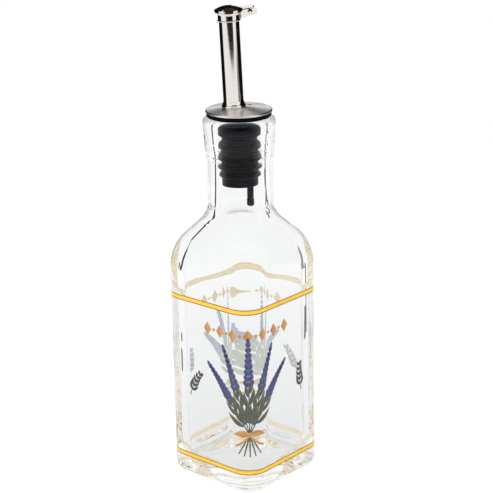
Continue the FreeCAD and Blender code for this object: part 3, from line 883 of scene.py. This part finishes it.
def dark_card(name, reach, seen_in, tone, nearby, rows):
    """A dark card through its rows. The camera doesn't see it, it gives no shade, and it shows only by reflection, up
    to a distance."""
    deselect()
    bpy.ops.mesh.primitive_grid_add(x_subdivisions=CARD_COLUMNS, y_subdivisions=len(rows) - 1, size=1.0)
    made = bpy.context.object
    made.name = name
    for vert in made.data.vertices:
        z, start, end = rows[round((vert.co.y + 0.5) * (len(rows) - 1))]
        turn = math.radians(start + (end - start) * (vert.co.x + 0.5)) - CAMERA_AZIMUTH
        vert.co = (reach * math.sin(turn), reach * math.cos(turn), z)
    material, tree = new_material(name)
    dark = add(tree, "ShaderNodeBsdfDiffuse", {"Color": linear(tone)})
    path = add(tree, "ShaderNodeLightPath")
    clear = add(tree, "ShaderNodeBsdfTransparent")
    far = add(tree, "ShaderNodeMath", {0: path.outputs["Ray Length"], 1: nearby}, operation="GREATER_THAN")
    out_of_glass = path.outputs["Is Transmission Ray"]
    barred = {
        STEEL: out_of_glass,
        STEEL_AND_GLASS: path.outputs["Is Camera Ray"],
        GLASS: add(tree, "ShaderNodeMath", {0: 1.0, 1: out_of_glass}, operation="SUBTRACT").outputs[0],
    }
    straight = add(tree, "ShaderNodeMath", {0: path.outputs["Glossy Depth"], 1: NO_BOUNCE}, operation="LESS_THAN")
    unseen = far
    for bar in (barred[seen_in], straight.outputs[0], path.outputs["Diffuse Depth"]):
        unseen = add(tree, "ShaderNodeMath", {0: unseen.outputs[0], 1: bar}, operation="MAXIMUM")
    surface(tree, add(tree, "ShaderNodeMixShader", {0: unseen.outputs[0], 1: dark.outputs[0], 2: clear.outputs[0]}))
    made.data.materials.append(material)
    made.visible_camera = False
    made.visible_diffuse = False
    made.visible_shadow = False


def camera():
    """The photograph's camera: its lens, its place and the way it looks."""
    data = bpy.data.cameras.new("camera")
    data.sensor_width = SENSOR
    data.lens = SENSOR * FOCAL_PIXELS / PHOTO_PIXELS
    made = bpy.data.objects.new("camera", data)
    bpy.context.scene.collection.objects.link(made)
    side = CAMERA_DISTANCE * MM
    made.location = (side * math.sin(CAMERA_AZIMUTH), -side * math.cos(CAMERA_AZIMUTH), CAMERA_HEIGHT * MM)
    heading = CAMERA_AZIMUTH + CAMERA_YAW
    level = math.cos(CAMERA_PITCH)
    look = Vector((-math.sin(heading) * level, math.cos(heading) * level, -math.sin(CAMERA_PITCH)))
    made.rotation_mode = "QUATERNION"
    made.rotation_quaternion = look.to_track_quat("-Z", "Y") @ Quaternion((0, 0, 1), CAMERA_ROLL)
    bpy.context.scene.camera = made


def seen_rays(tree):
    """1 for rays from the camera, from mirrors and through glass before any matt surface: they see plain white."""
    path = add(tree, "ShaderNodeLightPath")
    direct = add(tree, "ShaderNodeMath", {
        0: path.outputs["Is Camera Ray"],
        1: path.outputs["Is Glossy Ray"],
    }, operation="MAXIMUM")
    all_seen = add(tree, "ShaderNodeMath", {
        0: direct.outputs[0],
        1: path.outputs["Is Transmission Ray"],
    }, operation="MAXIMUM")
    first = add(tree, "ShaderNodeMath", {0: path.outputs["Diffuse Depth"], 1: NO_BOUNCE}, operation="LESS_THAN")
    return add(tree, "ShaderNodeMath", {0: all_seen.outputs[0], 1: first.outputs[0]}, operation="MULTIPLY").outputs[0]


def studio():
    """A white room whose light on matt surfaces is stronger from above and from the left."""
    world = bpy.data.worlds.new("white_studio")
    world.use_nodes = True
    bpy.context.scene.world = world
    tree = world.node_tree
    tree.nodes.clear()
    heading = add(tree, "ShaderNodeTexCoord").outputs["Generated"]
    key = Vector((-math.cos(CAMERA_AZIMUTH), -math.sin(CAMERA_AZIMUTH), LIGHT_RISE)).normalized()
    facing = add(tree, "ShaderNodeVectorMath", {0: heading, 1: key}, operation="DOT_PRODUCT")
    level = add(tree, "ShaderNodeMapRange", {
        "Value": facing.outputs["Value"],
        "From Min": -1.0,
        "From Max": 1.0,
        "To Min": LIGHT_WEAK,
        "To Max": LIGHT_STRONG,
    })
    light = add(tree, "ShaderNodeBackground", {"Color": WHITE, "Strength": level.outputs[0]})
    seen = add(tree, "ShaderNodeBackground", {"Color": WHITE, "Strength": 1.0})
    mix = add(tree, "ShaderNodeMixShader", {0: seen_rays(tree), 1: light.outputs[0], 2: seen.outputs[0]})
    add(tree, "ShaderNodeOutputWorld", {"Surface": mix.outputs[0]})


def floor():
    """A white table: most of its white is its own, so the bottle's shadow stays faint. To all but the camera its own
    glow is weaker near the bottle: a painted shadow.
    """
    deselect()
    bpy.ops.mesh.primitive_circle_add(vertices=TABLE_POINTS, radius=TABLE_RADIUS, fill_type="NGON")
    made = bpy.context.object
    made.name = "studio_floor"
    material, tree = new_material("white_floor")
    matt = add(tree, "ShaderNodeBsdfDiffuse", {"Color": (TABLE_TONE, TABLE_TONE, TABLE_TONE, 1)})
    path = add(tree, "ShaderNodeLightPath")
    place = add(tree, "ShaderNodeTexCoord").outputs["Object"]
    away = add(tree, "ShaderNodeVectorMath", {0: place}, operation="LENGTH")
    # Own glow, weaker near the bottle: a painted shadow, seen through the glass and by everything but the camera
    own = add(tree, "ShaderNodeMapRange", {
        "Value": away.outputs["Value"],
        "From Min": TABLE_NEAR,
        "From Max": TABLE_FAR,
        "To Min": TABLE_PAINTED_SHADOW_GLOW,
        "To Max": TABLE_FAR_GLOW,
    })
    shown = add(tree, "ShaderNodeMix", {
        FACTOR: path.outputs["Is Camera Ray"],
        FLOAT_A: own.outputs[0],
        FLOAT_B: TABLE_SHOWN_GLOW,
    })
    glow = add(tree, "ShaderNodeEmission", {"Color": WHITE, "Strength": shown.outputs[0]})
    both = add(tree, "ShaderNodeAddShader", {0: matt.outputs[0], 1: glow.outputs[0]})
    surface(tree, both)
    made.data.materials.append(material)
    made.location.z = -TABLE_DROP


def finish_nodes():
    """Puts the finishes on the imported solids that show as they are."""
    steel = drawn_steel()
    satin = ring_brushed_steel()
    # Moulded black elastomer: near black, satin, with a fine moulded grain.
    rubber = mottled("black_elastomer", "#020208", "#080814", 0.8, 0.42, specular=0.05, grain=0.02)
    # Extruded black polythene: a little greyer and more matt.
    plastic = mottled("black_polythene", "#141418", "#24242B", 1.2, 0.5, specular=0.15, grain=0.02)
    chosen = {
        "stopper": rubber,
        "breather_tube": plastic,
        "cap_disc": satin,
        "spout_tube": steel,
        "hinge_collar": steel,
        "hinge_pin": steel,
        "flap_lid": steel,
    }
    for name, material in chosen.items():
        NODES[name].data.materials.clear()
        NODES[name].data.materials.append(material)


bpy.context.scene.view_settings.view_transform = "Standard"
camera()
studio()
floor()
bottle_glass()
enamel_print()
finish_nodes()
for card in CARDS:
    dark_card(*card)
bpy.context.scene.cycles.max_bounces = BOUNCES
bpy.context.scene.cycles.glossy_bounces = CLEAR_BOUNCES
bpy.context.scene.cycles.transmission_bounces = CLEAR_BOUNCES
bpy.context.scene.cycles.blur_glossy = 0.0
